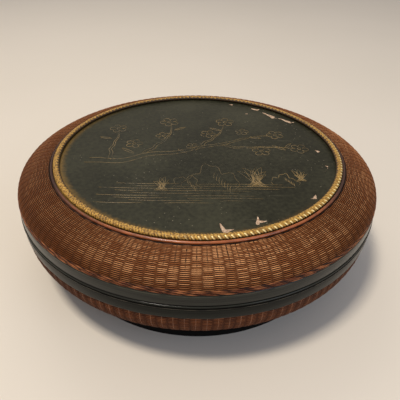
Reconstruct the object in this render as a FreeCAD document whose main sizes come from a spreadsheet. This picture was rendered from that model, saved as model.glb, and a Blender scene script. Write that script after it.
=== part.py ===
# Round covered sewing box of woven splint with lacquered hoops, a gilt rope border and a lift-off lid.
# Millimetres, +Z up, origin on the table under the centre of the foot. Every ring is turned about Z.
import FreeCAD, Part
import math
import os
import Sketcher

doc = FreeCAD.newDocument("sewing_box")

# Driving dimensions, one row each: name, size, what it measures.
SIZES = [
    ("rim_diameter", 338.8, "outside of the lid hoop and the base hoop"),
    ("foot_height", 27.0, "table to the underside of the woven bowl"),
    ("bowl_depth", 31.2, "underside of the bowl up to its widest line"),
    ("bowl_reach", 31.1, "inner edge of the bowl's woven ring out to its side"),
    ("bowl_skirt", 2.5, "upright stretch from the widest line to the base hoop"),
    ("bowl_inset", 0.9, "bowl in from the hoop's outside"),
    ("base_hoop_height", 11.3, "base hoop, bottom to top"),
    ("lid_hoop_height", 12.3, "lid hoop, bottom to top"),
    ("lid_hoop_wall", 4.0, "lid hoop, inside to outside"),
    ("bead_height", 1.8, "half-round bead, bottom to top"),
    ("bead_proud", 0.6, "bead beyond the hoop"),
    ("collar_clearance", 0.6, "lid hoop round the collar"),
    ("collar_wall", 2.0, "collar, inside to outside"),
    ("collar_rise", 8.0, "collar above the seam"),
    ("collar_depth", 9.0, "collar below the seam"),
    ("shoulder_depth", 18.0, "widest line of the shoulder up to its crown"),
    ("shoulder_reach", 30.5, "inner edge of the shoulder's woven ring out to its side"),
    ("shoulder_skirt", 1.6, "upright stretch from the lid hoop to the widest line"),
    ("shoulder_inset", 0.1, "shoulder in from the hoop's outside"),
    ("shoulder_corner", 12.0, "radius of the shoulder's outer turn"),
    ("edging_rise", 2.8, "edging above the shoulder's widest line"),
    ("edging_bulge", 0.8, "rounding of the edging"),
    ("panel_rise", 0.3, "top of the painted board above the shoulder's crown"),
    ("panel_wall", 5.0, "painted board, bottom to top"),
    ("ring_wall", 2.6, "upright of the panel ring"),
    ("ring_drop", 1.1, "top of that upright below the board's top"),
    ("ledge_width", 10.0, "ledge of the panel ring under the board"),
    ("ledge_wall", 6.0, "ledge of the panel ring, bottom to top"),
    ("cane_diameter", 2.6, "cane trim"),
    ("rope_width", 5.8, "rope border, inside to outside"),
    ("rope_height", 3.8, "rope border, bottom to top"),
    ("rope_gap", 0.3, "rope border in from the cane trim"),
    ("weave_wall", 1.6, "woven layer"),
    ("stake_wall", 0.9, "stake, inside to outside"),
    ("stake_width", 3.0, "stake at the hoop"),
    ("stake_count", 128, "stakes in the lid, and in the base"),
    ("lining_wall", 0.8, "lacquered lining"),
    ("disc_wall", 0.6, "lining discs of the lid and the floor"),
    ("foot_wall", 5.5, "foot hoop beside the floor board"),
    ("foot_ledge", 3.5, "ledge in the foot hoop under the floor board"),
    ("foot_ledge_wall", 5.0, "that ledge, bottom to top"),
    ("floor_wall", 5.0, "floor board, bottom to top"),
    ("seam_gap", 0.1, "lid hoop over base hoop"),
    ("layer_gap", 0.1, "between layers and seats of one half"),
]
sizes = doc.addObject("Spreadsheet::Sheet", "sizes")
for row, (alias, size, meaning) in enumerate(SIZES, start=1):
    sizes.set("A%d" % row, str(size))
    sizes.setAlias("A%d" % row, alias)
    sizes.set("B%d" % row, meaning)
doc.recompute()

fits = doc.addObject("App::VarSet", "fits")


def fit(name, expression):
    """Keep a radius, height or length that follows from the sheet where the sub-parts can read it."""
    fits.addProperty("App::PropertyFloat", name, "Fits")
    fits.setExpression(name, expression)


# Woven bowl: one arc from the level underside to the side, then an upright skirt to the base hoop.
fit("rim", "sizes.rim_diameter / 2")
fit("bowl_outer", "fits.rim - sizes.bowl_inset")
fit("bowl_inner", "fits.bowl_outer - sizes.bowl_reach")
fit("bowl_arc", "(pow(sizes.bowl_reach; 2) + pow(sizes.bowl_depth; 2)) / (2 * sizes.bowl_depth)")
fit("bowl_centre", "sizes.foot_height + fits.bowl_arc")
fit("bowl_lean_out", "sizes.bowl_reach / fits.bowl_arc")
fit("bowl_lean_up", "(sizes.bowl_depth - fits.bowl_arc) / fits.bowl_arc")
fit("base_hoop_foot", "sizes.foot_height + sizes.bowl_depth + sizes.bowl_skirt")
fit("bowl_end", "fits.base_hoop_foot - sizes.layer_gap")
fit("stake_depth", "sizes.weave_wall + sizes.layer_gap")
fit("lining_depth", "fits.stake_depth + sizes.stake_wall + sizes.layer_gap")
fit("shell_wall", "fits.lining_depth + sizes.lining_wall")

# Hoops, beads and collar. The collar stands in the lid with a clearance, and the base hoop closes on it.
fit("seam", "fits.base_hoop_foot + sizes.base_hoop_height")
fit("lid_foot", "fits.seam + sizes.seam_gap")
fit("lid_hoop_top", "fits.lid_foot + sizes.lid_hoop_height")
fit("lid_hoop_bore", "fits.rim - sizes.lid_hoop_wall")
fit("collar_out", "fits.lid_hoop_bore - sizes.collar_clearance")
fit("collar_bore", "fits.collar_out - sizes.collar_wall")
fit("collar_top", "fits.seam + sizes.collar_rise")
fit("collar_foot", "fits.seam - sizes.collar_depth")
fit("base_hoop_bore", "fits.collar_out + sizes.layer_gap")
fit("bead_bore", "fits.rim + sizes.layer_gap")
fit("bead_sag", "sizes.bead_proud - sizes.layer_gap")
fit("bead_arc", "(pow(sizes.bead_height / 2; 2) + pow(fits.bead_sag; 2)) / (2 * fits.bead_sag)")

# Woven shoulder: a crown arc that starts level and a corner arc that ends upright, meeting smoothly.
fit("shoulder_outer", "fits.rim - sizes.shoulder_inset")
fit("shoulder_inner", "fits.shoulder_outer - sizes.shoulder_reach")
fit("shoulder_end", "fits.lid_hoop_top + sizes.layer_gap")
fit("shoulder_wide", "fits.lid_hoop_top + sizes.shoulder_skirt")
fit("shoulder_crown", "fits.shoulder_wide + sizes.shoulder_depth")
fit("crown_arc", "(pow(sizes.shoulder_reach; 2) + pow(sizes.shoulder_depth; 2)"
                 " - 2 * sizes.shoulder_reach * sizes.shoulder_corner)"
                 " / (2 * (sizes.shoulder_depth - sizes.shoulder_corner))")
fit("crown_centre", "fits.shoulder_crown - fits.crown_arc")
fit("corner_centre", "fits.shoulder_outer - sizes.shoulder_corner")
fit("join_out", "(fits.corner_centre - fits.shoulder_inner) / (fits.crown_arc - sizes.shoulder_corner)")
fit("join_up", "(fits.shoulder_wide - fits.crown_centre) / (fits.crown_arc - sizes.shoulder_corner)")

# Edging: a rounded band from the lid hoop up to the woven layer, outside the stakes.
fit("edging_top", "fits.shoulder_wide + sizes.edging_rise")
fit("edging_bore", "fits.shoulder_outer - sizes.weave_wall")
fit("edging_out", "fits.corner_centre + sqrt(pow(sizes.shoulder_corner; 2) - pow(sizes.edging_rise; 2))")
fit("edging_half", "(fits.edging_top - fits.shoulder_end) / 2")
fit("edging_arc", "(pow(fits.edging_half; 2) + pow(sizes.edging_bulge; 2)) / (2 * sizes.edging_bulge)")
fit("weave_stop", "sizes.edging_rise + sizes.layer_gap")

# Board, panel ring, cane and rope, inwards from the shoulder's inner edge.
fit("ring_out", "fits.shoulder_inner - sizes.layer_gap")
fit("ring_bore", "fits.ring_out - sizes.ring_wall")
fit("panel_edge", "fits.ring_bore - sizes.layer_gap")
fit("panel_top", "fits.shoulder_crown + sizes.panel_rise")
fit("panel_foot", "fits.panel_top - sizes.panel_wall")
fit("ring_top", "fits.panel_top - sizes.ring_drop")
fit("ledge_top", "fits.panel_foot - sizes.layer_gap")
fit("ledge_foot", "fits.ledge_top - sizes.ledge_wall")
fit("ledge_bore", "fits.ring_bore - sizes.ledge_width")
fit("ceiling_edge", "fits.ledge_bore - sizes.layer_gap")
fit("ceiling_foot", "fits.ledge_top - sizes.disc_wall")
fit("cane_line", "fits.ring_bore + sizes.ring_wall / 2")
fit("cane_level", "fits.ring_top + sizes.layer_gap + sizes.cane_diameter / 2")
fit("rope_round", "sizes.rope_height / 2")
fit("rope_outer_round", "fits.cane_line - sizes.cane_diameter / 2 - sizes.rope_gap - fits.rope_round")
fit("rope_inner_round", "fits.rope_outer_round - sizes.rope_width + sizes.rope_height")
fit("rope_foot", "fits.panel_top + sizes.layer_gap")
fit("rope_top", "fits.rope_foot + sizes.rope_height")

# Foot hoop and floor board. The foot hoop rises through the bowl as far as its lining.
fit("foot_out", "fits.bowl_inner - sizes.layer_gap")
fit("foot_bore", "fits.foot_out - sizes.foot_wall")
fit("foot_top", "sizes.foot_height + fits.shell_wall + sizes.layer_gap")
fit("floor_edge", "fits.foot_bore - sizes.layer_gap")
fit("floor_foot", "fits.foot_top - sizes.floor_wall")
fit("foot_ledge_top", "fits.floor_foot - sizes.layer_gap")
fit("foot_ledge_foot", "fits.foot_ledge_top - sizes.foot_ledge_wall")
fit("foot_ledge_bore", "fits.foot_bore - sizes.foot_ledge")
fit("floor_lining_foot", "fits.foot_top + sizes.layer_gap")
doc.recompute()

TABLE = "0"
SURFACE = "0"
STRAIGHT = ""
FULL_TURN = 360
LEFT = 1
RIGHT = -1


def value(expression):
    """The number that an expression of the sheet gives now."""
    return float(sizes.evalExpression(expression))


def draw_profile(sketch, corners):
    """Draw a closed outline and tie it to the sheet.

    Each corner is (radius, height) or (radius, height, arc radius, turn), with sizes as expressions.
    The last two shape the run that leaves the corner: turn says whether it bends LEFT or RIGHT.
    """
    spots = [FreeCAD.Vector(value(corner[0]), value(corner[1]), 0) for corner in corners]
    starts = []
    ends = []
    for index, corner in enumerate(corners):
        here = spots[index]
        there = spots[(index + 1) % len(spots)]
        if len(corner) == 2:
            run = sketch.addGeometry(Part.LineSegment(here, there))
            starts.append((run, 1))
            ends.append((run, 2))
            continue
        radius = value(corner[2])
        turn = corner[3]
        chord = there - here
        left = FreeCAD.Vector(-chord.y, chord.x, 0).normalize()
        reach = math.sqrt(max(radius ** 2 - (chord.Length / 2) ** 2, 0.0))
        centre = (here + there) * 0.5 + left * (turn * reach)
        first, last = (here, there) if turn == LEFT else (there, here)
        from_angle = math.atan2(first.y - centre.y, first.x - centre.x)
        to_angle = math.atan2(last.y - centre.y, last.x - centre.x)
        circle = Part.Circle(centre, FreeCAD.Vector(0, 0, 1), radius)
        run = sketch.addGeometry(Part.ArcOfCircle(circle, from_angle, to_angle))
        starts.append((run, 1 if turn == LEFT else 2))
        ends.append((run, 2 if turn == LEFT else 1))
        bend = sketch.addConstraint(Sketcher.Constraint("Radius", run, radius))
        sketch.setExpression("Constraints[%d]" % bend, corner[2])
    for index, corner in enumerate(corners):
        run, point = starts[index]
        before, before_point = ends[index - 1]
        sketch.addConstraint(Sketcher.Constraint("Coincident", before, before_point, run, point))
        out = sketch.addConstraint(Sketcher.Constraint("DistanceX", -1, 1, run, point, spots[index].x))
        sketch.setExpression("Constraints[%d]" % out, corner[0])
        if corner[1] == TABLE:
            sketch.addConstraint(Sketcher.Constraint("PointOnObject", run, point, -1))
            continue
        height = sketch.addConstraint(Sketcher.Constraint("DistanceY", -1, 1, run, point, spots[index].y))
        sketch.setExpression("Constraints[%d]" % height, corner[1])


def turned(label, corners):
    """A ring turned about Z from an outline in the XZ plane."""
    body = doc.addObject("PartDesign::Body", label)
    sketch = body.newObject("Sketcher::SketchObject", label + "_profile")
    plane = next(feature for feature in body.Origin.OriginFeatures if feature.Role == "XZ_Plane")
    sketch.AttachmentSupport = [(plane, "")]
    sketch.MapMode = "FlatFace"
    draw_profile(sketch, corners)
    ring = body.newObject("PartDesign::Revolution", label + "_ring")
    ring.Profile = sketch
    ring.ReferenceAxis = (sketch, ["V_Axis"])
    ring.Angle = FULL_TURN
    return body


def band(label, bore, out, foot, top):
    """A plain hoop: a rectangle turned about Z."""
    return turned(label, [(bore, foot), (out, foot), (out, top), (bore, top)])


def bead(label, foot, top):
    """A half-round bead on the outside of a hoop."""
    return turned(label, [("fits.bead_bore", foot, "fits.bead_arc", LEFT), ("fits.bead_bore", top)])


def disc(label, edge, foot, wall):
    """A round board or lining disc."""
    board = doc.addObject("Part::Cylinder", label)
    board.setExpression("Radius", edge)
    board.setExpression("Height", wall)
    board.setExpression("Placement.Base.z", foot)
    return board


def shoulder_line(depth, stop=None):
    """Line of the shoulder at a depth under its surface, from the crown over both arcs to the lid hoop.

    Each spot is (radius, height, arc), where arc is the radius of the run to the next spot, or STRAIGHT.
    With stop, the line ends on the corner arc, that far above the widest line.
    """
    crown_arc = "(fits.crown_arc - (%s))" % depth
    corner_arc = "(sizes.shoulder_corner - (%s))" % depth
    join_out = "fits.shoulder_inner + fits.join_out * %s" % crown_arc
    join_up = "fits.crown_centre + fits.join_up * %s" % crown_arc
    line = [
        ("fits.shoulder_inner", "fits.shoulder_crown - (%s)" % depth, crown_arc),
        (join_out, join_up, corner_arc),
    ]
    if stop:
        stop_out = "fits.corner_centre + sqrt(pow(%s; 2) - pow(%s; 2))" % (corner_arc, stop)
        return line + [(stop_out, "fits.shoulder_wide + %s" % stop, STRAIGHT)]
    side = "fits.shoulder_outer - (%s)" % depth
    return line + [(side, "fits.shoulder_wide", STRAIGHT), (side, "fits.shoulder_end", STRAIGHT)]


def bowl_line(depth):
    """Line of the bowl at a depth inside its surface, from the underside over its arc to the base hoop."""
    arc = "(fits.bowl_arc - (%s))" % depth
    side = "fits.bowl_inner + fits.bowl_lean_out * %s" % arc
    return [
        ("fits.bowl_inner", "sizes.foot_height + (%s)" % depth, arc),
        (side, "fits.bowl_centre + fits.bowl_lean_up * %s" % arc, STRAIGHT),
        (side, "fits.bowl_end", STRAIGHT),
    ]


def between(outer, inner, turn):
    """Outline between two lines that run side by side: out along one and back along the other."""
    back = inner[::-1]
    arcs_back = [arc for _, _, arc in back[1:]] + [STRAIGHT]
    outline = []
    for radius, height, arc in outer:
        outline.append((radius, height, arc, turn) if arc else (radius, height))
    for (radius, height, _), arc in zip(back, arcs_back):
        outline.append((radius, height, arc, -turn) if arc else (radius, height))
    return outline


def shoulder_layer(outer_depth, inner_depth, stop=None):
    """Outline of one layer of the shoulder between two depths."""
    return between(shoulder_line(outer_depth, stop), shoulder_line(inner_depth, stop), RIGHT)


def bowl_layer(outer_depth, inner_depth):
    """Outline of one layer of the bowl between two depths."""
    return between(bowl_line(outer_depth), bowl_line(inner_depth), LEFT)


def stakes(label, outline):
    """Splints under the woven layer: one strip, repeated round the box."""
    body = turned(label, outline)
    body.AllowCompound = True
    strip = body.Tip
    strip.setExpression("Angle", "sizes.stake_width / fits.rim * 180 / pi")
    doc.recompute()
    ring = body.newObject("PartDesign::PolarPattern", label + "_round")
    ring.Originals = [strip]
    ring.Axis = (strip.Profile[0], ["V_Axis"])
    ring.Angle = FULL_TURN
    ring.setExpression("Occurrences", "sizes.stake_count")
    body.Tip = ring
    return body


def cane_ring(label, line, level, diameter):
    """A ring of round cane."""
    cane = doc.addObject("Part::Torus", label)
    cane.setExpression("Radius1", line)
    cane.setExpression("Radius2", diameter + " / 2")
    cane.setExpression("Placement.Base.z", level)
    return cane


STAKE_BACK = "fits.stake_depth + sizes.stake_wall"
parts = [
    # Lid: board in its ring, rope and cane round it, woven shoulder, hoop and bead.
    disc("lid_panel", "fits.panel_edge", "fits.panel_foot", "sizes.panel_wall"),
    turned("lid_panel_ring", [
        ("fits.ledge_bore", "fits.ledge_foot"),
        ("fits.ring_out", "fits.ledge_foot"),
        ("fits.ring_out", "fits.ring_top"),
        ("fits.ring_bore", "fits.ring_top"),
        ("fits.ring_bore", "fits.ledge_top"),
        ("fits.ledge_bore", "fits.ledge_top"),
    ]),
    disc("lid_ceiling_lining", "fits.ceiling_edge", "fits.ceiling_foot", "sizes.disc_wall"),
    turned("gilt_rope_border", [
        ("fits.rope_inner_round", "fits.rope_foot"),
        ("fits.rope_outer_round", "fits.rope_foot", "fits.rope_round", LEFT),
        ("fits.rope_outer_round", "fits.rope_top"),
        ("fits.rope_inner_round", "fits.rope_top", "fits.rope_round", LEFT),
    ]),
    cane_ring("cane_trim_ring", "fits.cane_line", "fits.cane_level", "sizes.cane_diameter"),
    stakes("lid_stakes", shoulder_layer("fits.stake_depth", STAKE_BACK)),
    turned("lid_weave", shoulder_layer(SURFACE, "sizes.weave_wall", "fits.weave_stop")),
    turned("lid_weave_edging", [
        ("fits.edging_bore", "fits.shoulder_end"),
        ("fits.edging_out", "fits.shoulder_end", "fits.edging_arc", LEFT),
        ("fits.edging_out", "fits.edging_top"),
        ("fits.edging_bore", "fits.edging_top"),
    ]),
    turned("lid_lining", shoulder_layer("fits.lining_depth", "fits.shell_wall")),
    band("lid_rim_hoop", "fits.lid_hoop_bore", "fits.rim", "fits.lid_foot", "fits.lid_hoop_top"),
    bead("lid_rim_bead", "fits.lid_foot", "fits.lid_foot + sizes.bead_height"),
    # Base: bead, hoop and collar, woven bowl, floor board and foot.
    bead("base_rim_bead", "fits.seam - sizes.bead_height", "fits.seam"),
    band("base_rim_hoop", "fits.base_hoop_bore", "fits.rim", "fits.base_hoop_foot", "fits.seam"),
    band("base_collar", "fits.collar_bore", "fits.collar_out", "fits.collar_foot", "fits.collar_top"),
    stakes("base_stakes", bowl_layer("fits.stake_depth", STAKE_BACK)),
    turned("base_weave", bowl_layer(SURFACE, "sizes.weave_wall")),
    turned("base_lining", bowl_layer("fits.lining_depth", "fits.shell_wall")),
    disc("base_floor", "fits.floor_edge", "fits.floor_foot", "sizes.floor_wall"),
    disc("base_floor_lining", "fits.foot_out", "fits.floor_lining_foot", "sizes.disc_wall"),
    turned("foot_hoop", [
        ("fits.foot_bore", TABLE),
        ("fits.foot_out", TABLE),
        ("fits.foot_out", "fits.foot_top"),
        ("fits.foot_bore", "fits.foot_top"),
        ("fits.foot_bore", "fits.foot_ledge_top"),
        ("fits.foot_ledge_bore", "fits.foot_ledge_top"),
        ("fits.foot_ledge_bore", "fits.foot_ledge_foot"),
        ("fits.foot_bore", "fits.foot_ledge_foot"),
    ]),
]

doc.recompute()
for item in doc.Objects:
    if "Invalid" in item.State or "Error" in item.State:
        raise RuntimeError("%s failed: %s" % (item.Label, item.State))
for part in parts:
    if part.Shape.isNull() or not part.Shape.isValid():
        raise RuntimeError("%s has no valid shape" % part.Label)

os.makedirs("parts", exist_ok=True)
for part in parts:
    part.Shape.exportStep(os.path.join("parts", part.Label + ".step"))
    print(part.Label, len(part.Shape.Solids), "solids", round(part.Shape.Volume, 1), "mm3")
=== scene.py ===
import math

import bpy
import numpy as np
from mathutils import Matrix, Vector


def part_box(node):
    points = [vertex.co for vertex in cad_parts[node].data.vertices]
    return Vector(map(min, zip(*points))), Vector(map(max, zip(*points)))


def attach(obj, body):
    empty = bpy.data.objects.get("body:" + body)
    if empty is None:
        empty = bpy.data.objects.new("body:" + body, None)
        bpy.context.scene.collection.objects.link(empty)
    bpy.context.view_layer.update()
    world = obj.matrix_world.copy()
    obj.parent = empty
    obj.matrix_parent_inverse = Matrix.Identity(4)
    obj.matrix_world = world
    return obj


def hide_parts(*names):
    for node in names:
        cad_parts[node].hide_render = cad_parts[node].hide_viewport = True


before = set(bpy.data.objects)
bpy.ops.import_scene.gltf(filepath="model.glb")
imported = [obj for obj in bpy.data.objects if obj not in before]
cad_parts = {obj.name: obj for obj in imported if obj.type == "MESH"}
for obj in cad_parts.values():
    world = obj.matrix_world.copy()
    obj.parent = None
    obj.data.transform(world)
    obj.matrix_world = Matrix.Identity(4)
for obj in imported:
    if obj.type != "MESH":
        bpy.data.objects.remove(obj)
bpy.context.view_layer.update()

# Foot hoop: a broad strip of bentwood closed into a ring and lacquered black, with a ledge inside for the
# floor board. The woven bowl sits round its upper edge, and the box stands on its lower edge.
MM = 0.001
AROUND = 384
LAYER_GAP = 0.1 * MM
LEDGE_REACH = 3.5 * MM
LEDGE_DEPTH = 5 * MM


def rounded(corners, radius, steps=4):
    """Closed outline with rounded corners.

    Each corner gives way to a curve that leaves both its sides at one distance, at most just under half of
    the shorter side: a quadratic blend of the two leaving points with the corner between them.
    """
    corner = np.array(corners, float)
    back = np.roll(corner, 1, axis=0) - corner
    ahead = np.roll(corner, -1, axis=0) - corner
    back_length = np.linalg.norm(back, axis=1, keepdims=True)
    ahead_length = np.linalg.norm(ahead, axis=1, keepdims=True)
    cut = np.minimum(radius, 0.45 * np.minimum(back_length, ahead_length))
    start = corner + back / back_length * cut
    end = corner + ahead / ahead_length * cut
    share = np.linspace(0, 1, steps)[:, None, None]
    curve = (1 - share) ** 2 * start + 2 * share * (1 - share) * corner + share ** 2 * end
    return curve.transpose(1, 0, 2).reshape(-1, 2)


def turned(outline, around=AROUND):
    """Grid of points of a ring: an outline of radius and height carried round Z in equal steps."""
    turn = np.linspace(0, 2 * np.pi, around, endpoint=False)[:, None]
    radius, height = np.array(outline).T
    return np.stack([radius * np.cos(turn), radius * np.sin(turn), height + 0 * turn], axis=-1)


def quad_mesh(name, points, quads):
    """Mesh of the given points and four-cornered faces."""
    mesh = bpy.data.meshes.new(name)
    mesh.vertices.add(len(points))
    mesh.vertices.foreach_set("co", points.astype(np.float32).ravel())
    mesh.loops.add(quads.size)
    mesh.loops.foreach_set("vertex_index", quads.astype(np.int32).ravel())
    mesh.polygons.add(len(quads))
    mesh.polygons.foreach_set("loop_start", np.arange(0, quads.size, 4, dtype=np.int32))
    mesh.update(calc_edges=True)
    return mesh


def ring_mesh(name, points, **kept):
    """Mesh over a grid of points that joins up along both axes, one quad for each cell of the grid.

    Each further grid of numbers is kept at the points under its own name.
    """
    around, across = points.shape[:2]
    here = np.arange(around * across).reshape(around, across)
    onward = np.roll(here, -1, axis=0)
    quads = np.stack([here, onward, np.roll(onward, -1, axis=1), np.roll(here, -1, axis=1)], axis=-1)
    mesh = quad_mesh(name, points.reshape(-1, 3), quads.reshape(-1, 4))
    for label, values in kept.items():
        attribute = mesh.attributes.new(label, "FLOAT", "POINT")
        attribute.data.foreach_set("value", values.astype(np.float32).ravel())
    return mesh


def fitted(mesh, material, body, slot, *nodes, crease=40):
    """Piece of a finished mesh, smooth but for its creases, riding on a body in place of its CAD nodes."""
    mesh.materials.append(material)
    mesh.shade_smooth()
    mesh.set_sharp_from_angle(angle=math.radians(crease))
    made = bpy.data.objects.new(mesh.name, mesh)
    bpy.context.scene.collection.objects.link(made)
    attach(made, body)
    if nodes:
        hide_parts(*nodes)
    return made


class Tone:
    """A socket of a material, so that shader maths can be written as expressions."""

    def __init__(self, tree, socket):
        self.tree = tree
        self.socket = socket

    def node(self, kind, settings, sockets, output=0):
        """Any node: its settings first, then the values or links of its sockets. Gives one output."""
        made = self.tree.nodes.new(kind)
        for name, setting in settings.items():
            setattr(made, name, setting)
        for name, given in sockets.items():
            if isinstance(given, Tone):
                self.tree.links.new(given.socket, made.inputs[name])
            else:
                made.inputs[name].default_value = given
        return Tone(self.tree, made.outputs[output])

    def math(self, operation, *others):
        """This value, and another where the operation takes two, through one Math node."""
        return self.node("ShaderNodeMath", {"operation": operation}, dict(enumerate((self, *others))))

    def most(self, *others):
        """The greatest of this value and the others."""
        greatest = self
        for other in others:
            greatest = greatest.math("MAXIMUM", other)
        return greatest

    def __add__(self, other):
        return self.math("ADD", other)

    def __sub__(self, other):
        return self.math("SUBTRACT", other)

    def __rsub__(self, other):
        return self.node("ShaderNodeMath", {"operation": "SUBTRACT"}, {0: other, 1: self})

    def __mul__(self, other):
        return self.math("MULTIPLY", other)

    def __truediv__(self, other):
        return self.math("DIVIDE", other)

    def __rtruediv__(self, other):
        return self.node("ShaderNodeMath", {"operation": "DIVIDE"}, {0: other, 1: self})

    __radd__ = __add__
    __rmul__ = __mul__

    def step(self, low, high):
        """0 below low, 1 above high, and a smooth climb between them."""
        sockets = {"Value": self, "From Min": low, "From Max": high}
        return self.node("ShaderNodeMapRange", {"interpolation_type": "SMOOTHSTEP"}, sockets)

    def near(self, spot, reach, core):
        """1 within core of the spot, 0 beyond reach of it, and a smooth climb between them."""
        return (self - spot).math("ABSOLUTE").step(reach, core)

    def blend(self, low, high):
        """Colour from low to high as this value goes from 0 to 1, on the Mix node's colour sockets."""
        return self.node("ShaderNodeMix", {"data_type": "RGBA"}, {0: self, 6: low, 7: high}, output=2)

    def into(self, shader, socket):
        """Links this value to a socket of a shader."""
        self.tree.links.new(self.socket, shader.inputs[socket])

    def axis(self, number):
        """One coordinate of a vector: 0, 1 or 2 for X, Y or Z."""
        return self.node("ShaderNodeSeparateXYZ", {}, {0: self}, output=number)

    def kept(self, name):
        """The number that the mesh keeps at its points under a name."""
        return self.node("ShaderNodeAttribute", {"attribute_name": name}, {}, output=2)

    def cloud(self, scale, detail=3.0, stretch=(1, 1, 1)):
        """Soft noise on this vector, from 0 to 1: cells to a metre, and how much denser along each axis."""
        spread = self.node("ShaderNodeMapping", {}, {"Vector": self, "Scale": stretch})
        return self.node("ShaderNodeTexNoise", {}, {"Vector": spread, "Scale": scale, "Detail": detail})

    def relief(self, shader, depth):
        """Bump of this value, as high as depth, in metres, where it is 1."""
        sockets = {"Height": self, "Distance": depth, "Strength": 1.0}
        self.node("ShaderNodeBump", {}, sockets).into(shader, "Normal")


def paint(red, green, blue):
    """Colour as it looks on a screen, 0 to 255, turned into light by the curve that screens follow."""
    share = np.array([red, green, blue]) / 255
    light = np.where(share <= 0.04045, share / 12.92, ((share + 0.055) / 1.055) ** 2.4)
    return (*light.tolist(), 1.0)


def finish(name, roughness, coat=0.0, coat_roughness=0.2, specular=0.5):
    """New material with its even settings. Gives it, its shader and the place on the piece in metres."""
    material = bpy.data.materials.new(name)
    material.use_nodes = True
    tree = material.node_tree
    shader = tree.nodes["Principled BSDF"]
    shader.inputs["Roughness"].default_value = roughness
    shader.inputs["Coat Weight"].default_value = coat
    shader.inputs["Coat Roughness"].default_value = coat_roughness
    shader.inputs["Specular IOR Level"].default_value = specular
    place = Tone(tree, None).node("ShaderNodeTexCoord", {}, {}, output="Object")
    return material, shader, place


def hoop_lacquer(name, dark, pale, worn, edge, reach, lines, roughness, gloss):
    """Old lacquer on bentwood: faint streaks run round with the grain, and an edge is paler: rubbed, with
    painted highlight.

    The paler band, rubbed lacquer in patches and a painted highlight along the edge, is strongest at the
    height called edge and fades out over reach. Narrow dark lines of the given heights and widths are
    painted shade, in the seam and just past each bead, and take the gloss off there.
    """
    material, shader, place = finish(name, roughness, coat=gloss, coat_roughness=0.16, specular=0.06)
    height = place.axis(2)
    streaks = place.cloud(14, 5.0, (1, 1, 60))
    # Paler band along the edge in patches: rubbed lacquer, with a painted highlight along it.
    rubbed = height.near(edge, reach, 0.2 * reach)
    patches = place.cloud(70, 4.0, (1, 1, 2))
    shade = (rubbed * patches.step(0.36, 0.6)).blend(streaks.step(0.38, 0.64).blend(dark, pale), worn)
    dull = roughness - 0.08 + 0.2 * place.cloud(60)
    if lines:
        # Narrow dark lines of painted shade, in the seam and just past each bead, which also take the gloss
        # off.
        shade_lines = [height.near(line, 0.7 * width, 0.3 * width) for line, width in lines]
        seam_shade = shade_lines[0].most(*shade_lines[1:])
        shade = seam_shade.blend(shade, paint(5, 5, 4))
        dull = dull + 0.3 * seam_shade
        (gloss * (1.0 - seam_shade)).into(shader, "Coat Weight")
    shade.into(shader, "Base Color")
    dull.into(shader, "Roughness")
    streaks.relief(shader, 0.15 * MM)
    return material


foot_low, foot_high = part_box("foot_hoop")
floor_low, floor_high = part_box("base_floor")
foot_out = foot_high.x
foot_bore = floor_high.x + LAYER_GAP
ledge_bore = foot_bore - LEDGE_REACH
ledge_top = floor_low.z - LAYER_GAP
ledge_foot = ledge_top - LEDGE_DEPTH
foot_outline = rounded([
    (foot_bore, foot_low.z),
    (foot_out, foot_low.z),
    (foot_out, foot_high.z),
    (foot_bore, foot_high.z),
    (foot_bore, ledge_top),
    (ledge_bore, ledge_top),
    (ledge_bore, ledge_foot),
    (foot_bore, ledge_foot),
], radius=0.8 * MM)
foot_black = hoop_lacquer("foot_black", dark=paint(3, 3, 3), pale=paint(7, 7, 6), worn=paint(30, 22, 16),
                          edge=0.0, reach=2 * MM, lines=(), roughness=0.5, gloss=0.06)
fitted(ring_mesh("foot_ring", turned(foot_outline)), foot_black, "base", "foot_lacquer", "foot_hoop")

# Floor board: a round of plain softwood let into the foot hoop, where it lies on the ledge.
# It is left bare, and its grain runs one way across it.


def round_board(name, radius, low, high, edge, rise, around=AROUND, rings=28, edge_steps=4):
    """Mesh of a round board with a softened edge.

    Its outline goes out along the underside and back along the top in even steps, and is carried round Z.
    rise gives the height of the top over its level from the place on it. The points at the middle are merged
    into poles.
    """
    out = np.linspace(0, radius - edge, rings)[:-1]
    under = np.stack([out, out * 0 + low], -1)
    side = rounded([(radius, low), (radius, high), (0, high), (0, low)], edge, edge_steps)[:2 * edge_steps]
    over = np.stack([out[::-1], out * 0 + high], -1)
    outline = np.concatenate([under, side, over])
    points = turned(outline, around)
    just_under = high - 0.1 * MM
    points[..., 2] += np.where(points[..., 2] > just_under, rise(points[..., 0], points[..., 1]), 0)
    count = len(outline)
    here = np.arange(around * count).reshape(around, count)
    here[:, 0] = here[0, 0]
    here[:, -1] = here[0, -1]
    onward = np.roll(here, -1, axis=0)
    quads = np.stack([here[:, :-1], onward[:, :-1], onward[:, 1:], here[:, 1:]], axis=-1).reshape(-1, 4)
    mesh = bpy.data.meshes.new(name)
    used, corners = np.unique(quads, return_inverse=True)
    corners = corners.reshape(-1, 4)
    pole = corners[:, 0] == corners[:, 1]
    tip = corners[:, 2] == corners[:, 3]
    faces = corners[~(pole | tip)].tolist() + corners[pole][:, 1:].tolist() + corners[tip][:, :3].tolist()
    mesh.from_pydata(points.reshape(-1, 3)[used].tolist(), [], faces)
    return mesh


def bare_wood(name, colour, grain):
    """Unfinished wood: long grain along X in two tones, with a dry surface."""
    material, shader, place = finish(name, 0.7)
    fibre = place.cloud(28, 6.0, (0.06, 1.6, 1))
    rings = place.cloud(9, 3.0, (0.1, 1.5, 1))
    (fibre * 0.6 + rings * 0.5).step(0.35, 0.75).blend(grain, colour).into(shader, "Base Color")
    fibre.relief(shader, 0.2 * MM)
    return material


def level(x, y):
    """A flat top."""
    return 0 * x


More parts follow.
